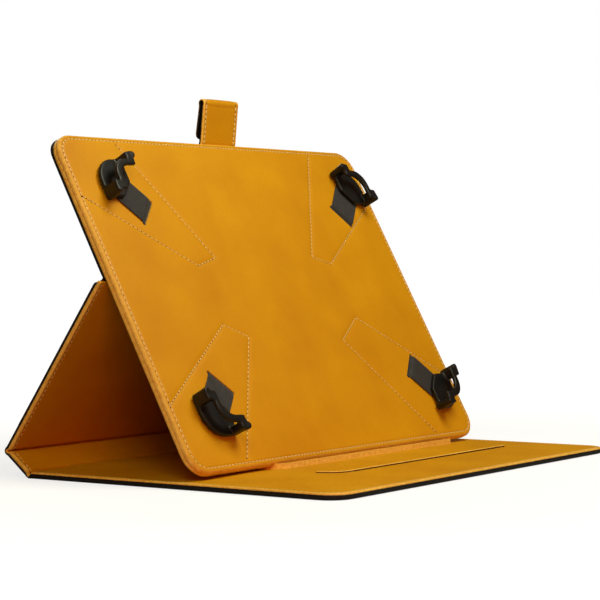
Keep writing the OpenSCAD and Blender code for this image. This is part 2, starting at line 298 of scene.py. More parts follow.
def leather(name, deep, plain, pale, rough, grain, edge_highlight_gain, shine=0.4):
    """Grained leather: pebbles, fine creases, drifting colour and a painted edge highlight."""
    made = Finish(name)
    pebbles = made.cells(1250)
    fine = made.noise(2600, 3)
    drift = made.noise(22, 3)
    creases = made.noise(420, 4, 0.6)
    # Painted highlight: within 1.6 mm of a free edge the colour turns pale, broken up by the
    # creases.
    edge_highlight_mask = made.stretch(made.attribute("edge_distance"), 0.0, 1.6, 1.0, 0.0)
    patch = made.stretch(drift, 0.3, 0.7)
    tone = made.blend(patch, (*deep, 1), (*plain, 1))
    hollow = made.stretch(pebbles, 0.25, 0.75) * 0.35
    tone = made.blend(hollow, tone, (*deep, 1))
    # The pale colour blended in here is the painted highlight on the edges.
    painted_edge_highlight = edge_highlight_mask * made.stretch(creases, 0.3, 0.7, 0.35, 1.0) * edge_highlight_gain
    tone = made.blend(painted_edge_highlight, tone, (*pale, 1))
    height = (1 - pebbles) * 0.7 + creases * 0.5 + fine * 0.15
    made.set({
        "Base_Color": tone,
        "Roughness": made.stretch(creases + hollow, 0.3, 1.0, rough - 0.07, rough + 0.1),
        "Normal": made.bump(height, grain, 0.00018),
        "Specular_IOR_Level": shine,
    })
    return made.material


front_pivot = joint_at("front_fold")
rear_pivot = joint_at("rear_fold")
middle_pivot = joint_at("middle_fold")
spine_tilt = direction(front_pivot, rear_pivot)
lower_tilt = direction(rear_pivot, middle_pivot) - math.atan(HOLDER_HEIGHT / LOWER_LENGTH)
HOLDER_BELOW = 119.75
HOLDER_REST = 5.3
holder_tilt = math.asin((middle_pivot[1] - HOLDER_REST) / HOLDER_BELOW)
HOLDER_SHIFT = 1.0
front = Plate(front_pivot, 0.0)
spine = Plate(front_pivot, spine_tilt)
lower = Plate(rear_pivot, lower_tilt)
holder = Plate(middle_pivot, holder_tilt, HOLDER_SHIFT)
# The third colour and the gain of 0.6 paint a faint highlight along the free edges.
black_leather = leather("black_grained_leather", (0.003, 0.003, 0.0032), (0.006, 0.0058, 0.006),
                        (0.018, 0.017, 0.017), 0.5, 0.32, 0.6, 0.22)


def over_front_fold(points):
    return front.place(folded(points, (0, 0), spine_tilt, FRONT_REACH))


def over_rear_fold(points):
    bent = folded(points, (SPINE_LENGTH, 0), lower_tilt - spine_tilt, REAR_REACH)
    return spine.place(bent)


def over_middle_fold(points):
    """The cover narrows to the holder's back as it passes the middle fold."""
    points = np.array(points, float)
    passed = smooth((points[:, 1] - LOWER_LENGTH + 3) / 7)
    points[:, 0] = points[:, 0] * (1 + passed * (UPPER_WIDTH / CASE_WIDTH - 1))
    points[:, 0] += passed * HOLDER_SHIFT
    bent = folded(points, (LOWER_LENGTH, HOLDER_HEIGHT), holder_tilt - lower_tilt, MIDDLE_REACH)
    return lower.place(bent)


def bend(piece, over, fold_at, reach, z):
    """Bakes a piece's transform into its mesh; the fold's ends are worked out but not used."""
    ends = over([[0, fold_at - reach, z[0]], [0, fold_at + reach, z[1]]]) * MM
    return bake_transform(piece)


def dip(y, at, half_width):
    """1 in a fold, falling to 0 beside it."""
    return 1 - smooth(np.abs(y - at) / half_width)


def fold_lines(at, half_width, step=0.45):
    return at + np.arange(-half_width, half_width + step / 2, step)


def tray(inset, rim, floor):
    """A turned edge: a rim round the board, and the leather's inner face inside it."""
    return np.where(inset <= 1.01, rim - rounding(inset, RIM_EDGE), floor)


HALF_SPINE = SPINE_LENGTH / 2
LOWER_SPLIT = 18.0
UPPER_SPLIT = 16.0
UPPER_WIDTH = 292.8
HOLDER_DEPTH = 210.5
HOLDER_TOP = HOLDER_DEPTH - HOLDER_BELOW
UPPER_OUTER = -2.2
UPPER_CORNER = 12

grid = leather_grid(CASE_WIDTH, -FRONT_DEPTH, HALF_SPINE, 6, corner_low=CORNER,
                    extra=fold_lines(0, 6))
rim = np.where(grid[1] < 0, FRONT_RIM, REAR_RIM)
rim = rim + dip(grid[1], 0, 2.6) * (SKIN_FLOOR + 0.12 - rim)
outer_front = leather_piece(
    "outer_leather_front", grid, tray(grid[2], rim, SKIN_FLOOR),
    OUTER_FACE + rounding(grid[2], OUTER_EDGE) + seam(grid[2], 3.2, 0.5, 0.16),
    over_front_fold, black_leather)
bend(outer_front, over_front_fold, 0, FRONT_REACH, (-1.1, -1.1))
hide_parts("front_outer_skin", "front_fold_bead")

grid = leather_grid(CASE_WIDTH, HALF_SPINE, SPINE_LENGTH + LOWER_SPLIT, 6,
                    extra=fold_lines(SPINE_LENGTH, 7))
rim = REAR_RIM + dip(grid[1], SPINE_LENGTH, 3.0) * (SKIN_FLOOR + 0.12 - REAR_RIM)
outer_spine = leather_piece(
    "outer_leather_spine", grid, tray(grid[2], rim, SKIN_FLOOR),
    OUTER_FACE + rounding(grid[2], OUTER_EDGE) + seam(grid[2], 3.2, 0.5, 0.16),
    over_rear_fold, black_leather)
bend(outer_spine, over_rear_fold, SPINE_LENGTH, REAR_REACH,
     (-1.1, -1.1))
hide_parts("spine_outer_skin", "rear_fold_bead")

grid = leather_grid(CASE_WIDTH, LOWER_SPLIT, LOWER_LENGTH + UPPER_SPLIT, 6,
                    extra=fold_lines(LOWER_LENGTH, 8))
passed = smooth((grid[1] - LOWER_LENGTH + 3.5) / 7)
outer_z = OUTER_FACE + passed * (UPPER_OUTER + HOLDER_HEIGHT - OUTER_FACE)
rim = REAR_RIM + passed * (HOLDER_HEIGHT - 0.02 - REAR_RIM)
rim = rim + dip(grid[1], LOWER_LENGTH, 3.8) * (outer_z + SKIN + 0.1 - rim)
outer_rear = leather_piece(
    "outer_leather_rear", grid, tray(grid[2], rim, outer_z + SKIN),
    outer_z + rounding(grid[2], 1.05) + seam(grid[2], 3.2, 0.5, 0.16),
    over_middle_fold, black_leather)
bend(outer_rear, over_middle_fold, LOWER_LENGTH, MIDDLE_REACH,
     (-1.1, 0.8))
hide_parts("rear_lower_skin", "mid_fold_bead")

grid = leather_grid(UPPER_WIDTH, UPPER_SPLIT, HOLDER_TOP, 6, corner_high=UPPER_CORNER)
outer_upper = leather_piece(
    "outer_leather_upper", grid, tray(grid[2], -0.02, UPPER_OUTER + SKIN),
    UPPER_OUTER + rounding(grid[2], 1.05) + seam(grid[2], 3.2, 0.5, 0.16),
    holder.place, black_leather)
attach(outer_upper, "holder")
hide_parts("rear_upper_skin")

# ======================================================================================
# Boards. Grey pulp board, 1 to 2 mm, die cut a little smaller than each panel and glued
# inside the turned leather, so it shows nowhere once the lining is on.
# ======================================================================================


def carried(name, material):
    """Gives a node that keeps its own shape its finish."""
    node = frame["nodes"][name]
    node.data.materials.clear()
    node.data.materials.append(material)
    node.data.polygons.foreach_set("material_index", [0] * len(node.data.polygons))


board = Finish("grey_pulp_board")
fibres = board.noise(900, 6, 0.7)
flecks = board.cells(700)
board.set({
    "Base_Color": board.blend(fibres, (0.19, 0.18, 0.165, 1), (0.31, 0.30, 0.28, 1)),
    "Roughness": board.stretch(flecks, 0.0, 0.8, 0.95, 0.8),
    "Normal": board.bump(fibres, 0.3, 0.0002),
})
for name in ("front_board", "spine_board", "rear_lower_board", "rear_upper_board",
             "holder_board"):
    carried(name, board.material)

# ======================================================================================
# Lining. Orange leather of the same grain, glued over the boards and sewn down all round
# 3.5 mm from its edge. It sinks into a soft furrow at each fold and, on the front cover,
# it is slit for the two card pockets.
# ======================================================================================
LINING_WIDTH = 299
LINING_INSET = 0.5
FRONT_LINED = 2.9
REAR_LINED = 2.2
RIM_DROP = 0.75
RIM_SLOPE = 60
LINING_EDGE = 0.95
FOLD_LINED = 0.35
FOLD_BEHIND = -0.5
SEAM_AT = 2.6
SEAM_DEPTH = 0.28
POCKET_ROOM = 1.95
SLOT_LEFT = -77
SLOT_RIGHT = 109
SLOT_FRONT = -FRONT_DEPTH + 51
SLOT_PITCH = 40
SLOT_WIDTH = 1.2
SLOT_RADIUS = 14
# The pale yellow third colour and the gain of 0.85 paint the highlight along the free edges.
orange_leather = leather("orange_grained_leather", (0.53, 0.225, 0.001),
                         (0.63, 0.30, 0.002), (1.0, 0.66, 0.15), 0.46, 0.26, 0.85, 0.22)


def ripple(x, y, height):
    """The slight unevenness of hand-glued leather."""
    wave = np.sin(x / 17.3 + 1.1) * np.cos(y / 13.7 + 0.6) + 0.6 * np.sin((x + 1.7 * y) / 29.0)
    return height * wave / 1.6


def front_lining_top(x, y, inset):
    level = np.where(y < 0, FRONT_LINED, REAR_LINED)
    level = level - RIM_DROP * (1 - smooth((inset - 1) / RIM_SLOPE)) * (y < 0)
    level = level + dip(y, 0, 3.0) * (FOLD_LINED - level)
    soft = ripple(x, y, 0.09) * smooth(inset / 6)
    return level - rounding(inset, LINING_EDGE) - seam(inset, SEAM_AT, 0.55, SEAM_DEPTH) + soft


def spine_lining_top(x, y, inset):
    level = REAR_LINED + dip(y, SPINE_LENGTH, 3.4) * (FOLD_LINED - REAR_LINED)
    return level - rounding(inset, LINING_EDGE) - seam(inset, SEAM_AT, 0.55, SEAM_DEPTH)


def rear_lining_top(x, y, inset):
    soft = ripple(x, y, 0.09) * smooth(inset / 6) * smooth((LOWER_LENGTH - y) / 12)
    return (REAR_LINED - rounding(inset, LINING_EDGE)
            - seam(inset, SEAM_AT, 0.55, SEAM_DEPTH) + soft)


def under_lining(y, inset, rim, at, room):
    """The lining's glued face: down on the rim at its edge, and over the pockets inside."""
    level = rim + smooth((inset - 20) / 8) * (room - rim)
    return level + dip(y, at, 2.4) * (FOLD_BEHIND - level)


slot_lines = [SLOT_FRONT + row * SLOT_PITCH + offset
              for row in (0, 1) for offset in (-2.4, -1.2, 1.2, 2.4, 4.0)]
grid = leather_grid(LINING_WIDTH, LINING_INSET - FRONT_DEPTH, HALF_SPINE, 3,
                    corner_low=CORNER - LINING_INSET, extra=[*fold_lines(0, 6), *slot_lines])
rim = np.where(grid[1] < 0, FRONT_RIM, REAR_RIM) + 0.01
room = np.where(grid[1] < -6, POCKET_ROOM, rim)
lining_front = leather_piece(
    "lining_front", grid, front_lining_top(*grid),
    under_lining(grid[1], grid[2], rim, 0, room), over_front_fold, orange_leather)


def swept(name, path, section, place, material):
    """A closed section of (across, up) points carried along a flat path."""
    path, section = np.asarray(path, float), np.asarray(section, float)
    along = np.gradient(path[:, :2], axis=0)
    along /= np.linalg.norm(along, axis=1)[:, None]
    across = np.stack([-along[:, 1], along[:, 0]], 1)
    rings = []
    for p, n in zip(path, across):
        rings.append([[p[0] + n[0] * a, p[1] + n[1] * a, p[2] + h] for a, h in section])
    count, size = len(path), len(section)
    faces = []
    for i in range(count - 1):
        for k in range(size):
            j = (k + 1) % size
            faces.append([i * size + k, i * size + j, (i + 1) * size + j, (i + 1) * size + k])
    faces.append(list(range(size))[::-1])
    faces.append([(count - 1) * size + k for k in range(size)])
    return build(name, place(np.array(rings).reshape(-1, 3)), faces, material)


def slot_path(y, z, offset=0.0):
    """A card slot's line: a quarter turn at its left end, then straight to the right."""
    turn = np.radians(np.arange(180, 271, 6))
    radius = SLOT_RADIUS - offset
    curve = np.stack([SLOT_LEFT + SLOT_RADIUS + radius * np.cos(turn),
                      y + SLOT_RADIUS + radius * np.sin(turn)], 1)
    straight = np.arange(SLOT_LEFT + SLOT_RADIUS + 4, SLOT_RIGHT, 6)
    run = np.stack([straight, np.full(len(straight), y + offset)], 1)
    path = np.concatenate([curve, run, [[SLOT_RIGHT, y + offset]]])
    return np.column_stack([path, np.full(len(path), z)])


def cut(piece, cutters):
    """Takes the cutters' shapes out of a piece and leaves a clean mesh."""
    for cutter in cutters:
        step = piece.modifiers.new("cut", "BOOLEAN")
        step.operation, step.solver, step.object = "DIFFERENCE", "EXACT", cutter
    bpy.context.view_layer.update()
    shaped = piece.evaluated_get(bpy.context.evaluated_depsgraph_get())
    mesh = bpy.data.meshes.new_from_object(shaped)
    piece.modifiers.clear()
    old, piece.data = piece.data, mesh
    bpy.data.meshes.remove(old)
    for cutter in cutters:
        bpy.data.objects.remove(cutter)
    mesh.set_sharp_from_angle(angle=math.radians(40))
    return piece


def box_section(half_width, low, high):
    return [(-half_width, low), (half_width, low), (half_width, high), (-half_width, high)]


slots = [swept("slot_cutter", slot_path(SLOT_FRONT + row * SLOT_PITCH, 0),
               box_section(SLOT_WIDTH / 2, 0.6, 6), front.place, orange_leather)
         for row in (0, 1)]
cut(lining_front, slots)
bend(lining_front, over_front_fold, 0, FRONT_REACH, (1.6, 1.2))
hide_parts("front_lining")

grid = leather_grid(LINING_WIDTH, HALF_SPINE, SPINE_LENGTH + LOWER_SPLIT, 4,
                    extra=fold_lines(SPINE_LENGTH, 7))
lining_spine = leather_piece(
    "lining_spine", grid, spine_lining_top(*grid),
    under_lining(grid[1], grid[2], REAR_RIM + 0.01, SPINE_LENGTH, REAR_RIM + 0.01),
    over_rear_fold, orange_leather)
bend(lining_spine, over_rear_fold, SPINE_LENGTH, REAR_REACH,
     (1.7, 1.7))
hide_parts("spine_lining")

LINING_END = LOWER_LENGTH - 1.2
grid = leather_grid(LINING_WIDTH, LOWER_SPLIT, LINING_END, 4)
lining_rear = leather_piece(
    "lining_rear", grid, rear_lining_top(*grid), np.full(grid[0].shape, REAR_RIM + 0.01),
    lower.place, orange_leather)
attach(lining_rear, "rear_lower")
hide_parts("rear_lower_lining")

# ======================================================================================
# Card pockets. Two thin leather sheets under the lining make the pockets. The rear edge
# of each slit is folded under and pressed, so it stands up as a narrow rounded lip. Its
# face towards the slit is dark red, painted shade of the slit.
# ======================================================================================
LIP_SECTION = [(0.0, -0.75), (0.0, 0.5), (0.22, 0.72), (0.8, 0.78), (1.6, 0.62),
               (2.6, 0.3), (3.4, -0.1), (3.4, -0.75)]
# Dark red, which also paints the shade in the slits; the third colour is a painted edge highlight.
pocket_leather_and_slit_shade = leather("pocket_leather_and_slit_shade", (0.09, 0.014, 0.002), (0.15, 0.028, 0.002),
                         (0.3, 0.1, 0.02), 0.7, 0.2, 0.2)
for name in ("card_pocket_front", "card_pocket_rear"):
    carried(name, pocket_leather_and_slit_shade)
for row, word in ((0, "front"), (1, "rear")):
    path = slot_path(SLOT_FRONT + row * SLOT_PITCH, FRONT_LINED, SLOT_WIDTH / 2)
    lip = swept("card_slot_lip_" + word, path, LIP_SECTION, front.place,
                [orange_leather, pocket_leather_and_slit_shade])
    # Painted shade: the lip's cut edge, its face towards the slit, takes the dark red leather.
    shaded_cut_edge = [int(k % len(LIP_SECTION) == 0) for k in range(len(lip.data.polygons) - 2)]
    lip.data.polygons.foreach_set("material_index", [*shaded_cut_edge, 0, 0])
    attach(lip, "front_cover")

# ======================================================================================
# Edge stitching. A lockstitch of cream waxed thread holds the lining down; on the outside
# the same row is sewn in black. Every stitch lies in its furrow between two needle holes,
# and a flat dark bead on each hole paints its shade.
# ======================================================================================
PITCH = 3.1
STITCH_LENGTH = 2.35
THREAD = 0.27


def edge_path(width, y_low, y_high, inset, corner_low=None, corner_high=None):
    """The line that runs inside a panel's free edges, from its first cut end to its last."""
    half = width / 2 - inset
    left, right = [], []
    if corner_low is None:
        left.append([[-half, y_low]])
        right.append([[half, y_low]])
    else:
        r = corner_low - inset
        turn = np.radians(np.arange(270, 179, -6))
        arc = np.stack([r * np.cos(turn), r * np.sin(turn)], 1)
        left.append(arc + [-half + r, y_low + inset + r])
        right.append(arc * [-1, 1] + [half - r, y_low + inset + r])
    if corner_high is None:
        left.append([[-half, y_high]])
        right.append([[half, y_high]])
    else:
        r = corner_high - inset
        turn = np.radians(np.arange(180, 89, -6))
        arc = np.stack([r * np.cos(turn), r * np.sin(turn)], 1)
        left.append(arc + [-half + r, y_high - inset - r])
        right.append(arc * [-1, 1] + [half - r, y_high - inset - r])
    left, right = np.concatenate(left), np.concatenate(right)
    if corner_low is None and corner_high is None:
        return [left, right]
    if corner_low is None:
        return [np.concatenate([left, right[::-1]])]
    if corner_high is None:
        return [np.concatenate([left[::-1], right])]
    return [np.concatenate([left, right[::-1], left[:1]])]


def capsule(sides, rings):
    """A rounded rod along x, from -1 to 1, with a radius of 1."""
    points, faces = [], []
    for i in range(rings + 1):
        along = -math.cos(math.pi * i / rings)
        size = max(1 - along ** 4, 0.02) ** 0.5
        points += [[along, size * math.cos(a), size * math.sin(a)]
                   for a in np.arange(sides) * 2 * math.pi / sides]
    for i in range(rings):
        for k in range(sides):
            j = (k + 1) % sides
            faces.append([i * sides + j, i * sides + k, (i + 1) * sides + k,
                          (i + 1) * sides + j])
    faces.append(list(range(sides)))
    faces.append([rings * sides + k for k in range(sides)][::-1])
    return np.array(points), faces


rod, rod_faces = capsule(8, 5)
bead, bead_faces = capsule(6, 3)
THREAD_SHADES = {
    "cream_thread": ((0.52, 0.36, 0.10), (0.88, 0.68, 0.30)),
    "black_thread": ((0.012, 0.012, 0.013), (0.045, 0.044, 0.045)),
}


def thread(name):
    """Waxed twisted thread: fine slanting ply lines with a soft sheen."""
    dark, pale = THREAD_SHADES[name]
    made = Finish(name)
    ply = made.node("TexWave", {"wave_type": "BANDS", "bands_direction": "DIAGONAL"},
                    {"Vector": made.place(), "Scale": 900.0, "Distortion": 1.5})
    made.set({
        "Base_Color": made.blend(ply, (*dark, 1), (*pale, 1)),
        "Roughness": made.stretch(ply, 0.0, 1.0, 0.62, 0.45),
        "Normal": made.bump(ply, 0.35, 0.0001),
        "Sheen_Weight": 0.15,
    })
    return made.material


cream_thread = thread("cream_thread")
black_thread = thread("black_thread")
# Painted shade: a near-black flat bead stands for the shade inside each needle hole.
needle_hole_shade = Finish("needle_hole_shade")
needle_hole_shade.set({
    "Base_Color": needle_hole_shade.blend(needle_hole_shade.noise(900), (0.012, 0.003, 0.001, 1),
                                    (0.035, 0.008, 0.002, 1)),
    "Roughness": 0.9,
})


def stitches(name, paths, height, place, material, lift=0.1, sign=1, bold=1.0):
    """Rows of stitches along flat paths, with a dark bead of painted shade on each needle hole."""
    points, faces, shades = [], [], []
    for path in paths:
        path = np.asarray(path, float)
        legs = np.linalg.norm(np.diff(path, axis=0), axis=1)
        run = np.concatenate([[0], np.cumsum(legs)])
        count = max(1, round(run[-1] / PITCH))
        pitch = run[-1] / count
        for i in range(count):
            middle = (i + 0.5) * pitch
            for centre, template, shape, size, shade in (
                    (middle, rod, rod_faces, (STITCH_LENGTH / 2, THREAD * bold, THREAD * 0.85), 0),
                    (i * pitch, bead, bead_faces, (0.42, 0.36, 0.14), 1)):
                spots = np.array([centre - 0.4, centre, centre + 0.4])
                px = np.interp(spots, run, path[:, 0])
                py = np.interp(spots, run, path[:, 1])
                turn = math.atan2(py[2] - py[0], px[2] - px[0])
                c, s = math.cos(turn), math.sin(turn)
                local = template * size
                x = px[1] + local[:, 0] * c - local[:, 1] * s
                y = py[1] + local[:, 0] * s + local[:, 1] * c
                at = height(np.full(len(x), px[1]), y)
                z = at + sign * (lift * (1 - shade) + local[:, 2])
                base = sum(len(p) for p in points)
                points.append(np.stack([x, y, z], 1))
                turned = shape if sign > 0 else [f[::-1] for f in shape]
                faces += [[base + v for v in f] for f in turned]
                shades += [shade] * len(shape)
    made = build(name, place(np.concatenate(points)), faces, [material, needle_hole_shade.material],
                 sharp=80)
    made.data.polygons.foreach_set("material_index", shades)
    return made


sewn = stitches("stitching_front_lining",
                edge_path(LINING_WIDTH, LINING_INSET - FRONT_DEPTH, HALF_SPINE, SEAM_AT,
                          corner_low=CORNER - LINING_INSET),
                lambda x, y: front_lining_top(x, y, SEAM_AT), over_front_fold, cream_thread)
bend(sewn, over_front_fold, 0, FRONT_REACH, (1.6, 1.2))
sewn = stitches("stitching_spine_lining",
                edge_path(LINING_WIDTH, HALF_SPINE, SPINE_LENGTH + LOWER_SPLIT, SEAM_AT),
                lambda x, y: spine_lining_top(x, y, SEAM_AT), over_rear_fold, cream_thread)
bend(sewn, over_rear_fold, SPINE_LENGTH, REAR_REACH, (1.7, 1.7))
sewn = stitches("stitching_rear_lining",
                edge_path(LINING_WIDTH, LOWER_SPLIT, LINING_END - 1, SEAM_AT),
                lambda x, y: rear_lining_top(x, y, SEAM_AT), lower.place, cream_thread)
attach(sewn, "rear_lower")

OUTER_SEAM = 3.2
sewn = stitches("stitching_front_outer",
                edge_path(CASE_WIDTH, -FRONT_DEPTH, HALF_SPINE, OUTER_SEAM, corner_low=CORNER),
                lambda x, y: np.full(len(y), OUTER_FACE + 0.14), over_front_fold, black_thread,
                sign=-1, lift=-0.1)
bend(sewn, over_front_fold, 0, FRONT_REACH, (-1.1, -1.1))
sewn = stitches("stitching_spine_outer",
                edge_path(CASE_WIDTH, HALF_SPINE, SPINE_LENGTH + LOWER_SPLIT, OUTER_SEAM),
                lambda x, y: np.full(len(y), OUTER_FACE + 0.14), over_rear_fold, black_thread,
                sign=-1)
bend(sewn, over_rear_fold, SPINE_LENGTH, REAR_REACH, (-1.1, -1.1))


def rear_outer_height(x, y):
    passed = smooth((y - LOWER_LENGTH + 3.5) / 7)
    return OUTER_FACE + passed * (UPPER_OUTER + HOLDER_HEIGHT - OUTER_FACE) + 0.14


sewn = stitches("stitching_rear_outer",
                edge_path(CASE_WIDTH, LOWER_SPLIT, LOWER_LENGTH + UPPER_SPLIT, OUTER_SEAM),
                rear_outer_height, over_middle_fold, black_thread, sign=-1)
bend(sewn, over_middle_fold, LOWER_LENGTH, MIDDLE_REACH, (-1.1, 0.8))
sewn = stitches("stitching_upper_outer",
                edge_path(UPPER_WIDTH, UPPER_SPLIT, HOLDER_TOP, OUTER_SEAM,
                          corner_high=UPPER_CORNER),
                lambda x, y: np.full(len(y), UPPER_OUTER + 0.14), holder.place, black_thread,
                sign=-1)
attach(sewn, "holder")

# ======================================================================================
# Holder panel. A board in a back shell of orange leather, and a padded front shell of
# the same leather over thin foam. The two turned edges meet in a groove at the side, and
# rows of channel stitching guide the four elastic bands under the leather.
# ======================================================================================
HOLDER_WIDTH = 294
HOLDER_THICK = 5.6
BACK_SHELL = 2.6
HOLDER_EDGE = 2.1
BACK_EDGE = 1.0
HOLDER_SEAM = 2.9
PAD_TOP = 4.62
CROWN = 0.22
BOTTOM = -HOLDER_BELOW
CHANNELS = (
    ((-143.6, 41.6), (0.854, 0.520), (-98.5, 5.4), (0.555, 0.832)),
    ((143.6, 41.6), (-0.854, 0.520), (99.9, 5.0), (-0.640, 0.768)),
    ((-143.6, 170.4), (0.861, -0.509), (-95.5, 205.2), (0.533, -0.846)),
    ((143.6, 170.4), (-0.861, -0.509), (97.5, 205.2), (-0.533, -0.846)),
)
CHANNEL_LENGTH = 88


def channel_paths():
    """The two rows beside each band, from the edge seam inwards, joined across its sewn end."""
    paths = []
    for start, along, other, beside in CHANNELS:
        start, along = np.array(start) + [0, BOTTOM], np.array(along)
        other, beside = np.array(other) + [0, BOTTOM], np.array(beside)
        ends = start + along * CHANNEL_LENGTH, other + beside * CHANNEL_LENGTH
        paths.append(np.array([start, ends[0]]))
        paths.append(np.array([other, ends[1]]))
        paths.append(np.array([ends[0], ends[1]]))
    return paths


def channel_depth(x, y):
    """The furrows of the channel stitching, and the leather's lift over each band."""
    nearest = np.full(np.shape(x), 99.0)
    for start, end in channel_paths():
        along = end - start
        share = ((x - start[0]) * along[0] + (y - start[1]) * along[1]) / (along @ along)
        share = np.clip(share, 0, 1)
        gap = np.hypot(x - start[0] - share * along[0], y - start[1] - share * along[1])
        nearest = np.minimum(nearest, gap)
    return 0.42 * np.exp(-(nearest / 1.0) ** 2) + 0.12 * np.exp(-(nearest / 3.5) ** 2)


def holder_top(x, y, inset):
    crown = CROWN * smooth(inset / 24) + ripple(x, y, 0.07) * smooth(inset / 9)
    edge = rounding(inset, HOLDER_EDGE) + seam(inset, HOLDER_SEAM, 0.6, 0.38)
    return HOLDER_THICK + crown - edge - channel_depth(x, y)


grid = leather_grid(HOLDER_WIDTH, BOTTOM, HOLDER_TOP, 1.15, CORNER, CORNER)
holder_front = leather_piece(
    "holder_front", grid, holder_top(*grid),
    np.where(grid[2] <= 1.01, BACK_SHELL + rounding(grid[2], 0.7), PAD_TOP), holder.place,
    orange_leather)
TABLET = (254, 165.5)
TABLET_SHIFT = (5, 0.5)
EXIT_AT = 40
BAND_WIDTH = 20
CORNERS = {"lower_left": (-1, -1), "lower_right": (1, -1),
           "upper_left": (-1, 1), "upper_right": (1, 1)}


def from_corner(points, side, end):
    """From a corner of the held tablet, with x and y inwards, to the holder's frame."""
    points = np.array(points, float)
    x = TABLET_SHIFT[0] + side * TABLET[0] / 2 - side * points[:, 0]
    middle = (BOTTOM + HOLDER_TOP) / 2 + TABLET_SHIFT[1]
    y = middle + end * TABLET[1] / 2 - end * points[:, 1]
    return np.stack([x, y, points[:, 2]], 1)


def on_diagonal(points):
    """Turns (distance from the corner, across, up) onto the corner's diagonal."""
    d, across, up = np.asarray(points, float).T
    half = math.sqrt(0.5)
    return np.stack([(d - across) * half, (d + across) * half, up], 1)


def stadium(length, width, steps=7):
    """A slot's outline with round ends, counter-clockwise."""
    turn = np.linspace(-math.pi / 2, math.pi / 2, steps)
    end = np.stack([np.cos(turn), np.sin(turn)], 1) * width / 2
    reach = (length - width) / 2
    return np.concatenate([end + [reach, 0], -end - [reach, 0]])


def prism(name, outline, low, high, place, material):
    """A straight-sided block with a drawn outline."""
    outline = np.asarray(outline, float)
    count = len(outline)
    points = np.concatenate([np.column_stack([outline, np.full(count, z)]) for z in (low, high)])
    faces = [[k, (k + 1) % count, (k + 1) % count + count, k + count] for k in range(count)]
    faces += [list(range(count))[::-1], [k + count for k in range(count)]]
    return build(name, place(points), faces, material)


slits = []
for side, end in CORNERS.values():
    outline = stadium(BAND_WIDTH + 2.4, 2.6)[:, ::-1]
    slit = prism("slit_cutter", outline + [EXIT_AT, 0], 3.0, 8.0,
                 lambda p: holder.place(from_corner(on_diagonal(p), side, end)),
                 orange_leather)
    fixed = bmesh.new()
    fixed.from_mesh(slit.data)
    bmesh.ops.recalc_face_normals(fixed, faces=fixed.faces)
    fixed.to_mesh(slit.data)
    fixed.free()
    slits.append(slit)
cut(holder_front, slits)
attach(holder_front, "holder")
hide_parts("holder_front_cover")

grid = leather_grid(HOLDER_WIDTH, BOTTOM, HOLDER_TOP, 5, CORNER, CORNER)
holder_back = leather_piece(
    "holder_back", grid,
    np.where(grid[2] <= 1.01, BACK_SHELL - rounding(grid[2], 0.9), SKIN),
    rounding(grid[2], BACK_EDGE) + seam(grid[2], HOLDER_SEAM, 0.5, 0.14), holder.place,
    orange_leather)
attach(holder_back, "holder")
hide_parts("holder_back_cover")

HOLDER_RING = edge_path(HOLDER_WIDTH, BOTTOM, HOLDER_TOP, HOLDER_SEAM, CORNER, CORNER)
sewn = stitches("stitching_holder_edge", HOLDER_RING,
                lambda x, y: np.full(len(y), HOLDER_THICK - 0.42), holder.place, cream_thread,
                lift=0.12, bold=1.35)
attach(sewn, "holder")
sewn = stitches("stitching_channels", channel_paths(),
                lambda x, y: np.full(len(y), HOLDER_THICK + CROWN - 0.5), holder.place,
                cream_thread, lift=0.08)
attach(sewn, "holder")
lower_back = edge_path(HOLDER_WIDTH, BOTTOM, -1, HOLDER_SEAM, corner_low=CORNER)
sewn = stitches("stitching_holder_back", lower_back,
                lambda x, y: np.full(len(y), 0.12), holder.place, cream_thread, sign=-1)
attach(sewn, "holder")

foam = Finish("pad_foam")
pores = foam.cells(1600)
foam.set({
    "Base_Color": foam.blend(pores, (0.10, 0.10, 0.098, 1), (0.16, 0.16, 0.155, 1)),
    "Roughness": foam.stretch(pores, 0.0, 0.8, 0.85, 0.98),
    "Normal": foam.bump(pores, 0.5, 0.0004),
})
carried("holder_pad", foam.material)

# ======================================================================================
# Elastic bands. Flat ribbed elastic, 20 mm wide, sewn down under the leather. Each band
# comes up through a slit on its corner's diagonal and is moulded into the grip's base.
# ======================================================================================
BAND_HIGH = 7.1
BAND_SEAT = 8
elastic = Finish("black_ribbed_elastic")
weave = elastic.noise(3200, 2)
slack = elastic.noise(180, 3)
elastic.set({
    "Base_Color": elastic.blend(weave, (0.004, 0.004, 0.005, 1), (0.014, 0.014, 0.016, 1)),
    "Roughness": elastic.stretch(slack, 0.3, 0.7, 0.8, 0.65),
    "Normal": elastic.bump(weave, 0.6, 0.00025),
    "Sheen_Weight": 0.1,
    "Sheen_Roughness": 0.5,
})
carried("elastic_anchors", elastic.material)
BAND_LINE = [(BAND_SEAT, BAND_HIGH - 0.6), (EXIT_AT - 4, BAND_HIGH - 0.6),
             (EXIT_AT - 2.2, BAND_HIGH - 0.75), (EXIT_AT - 1.0, BAND_HIGH - 1.35),
             (EXIT_AT - 0.25, BAND_HIGH - 2.2), (EXIT_AT, BAND_HIGH - 3.4)]
RIBS = 15


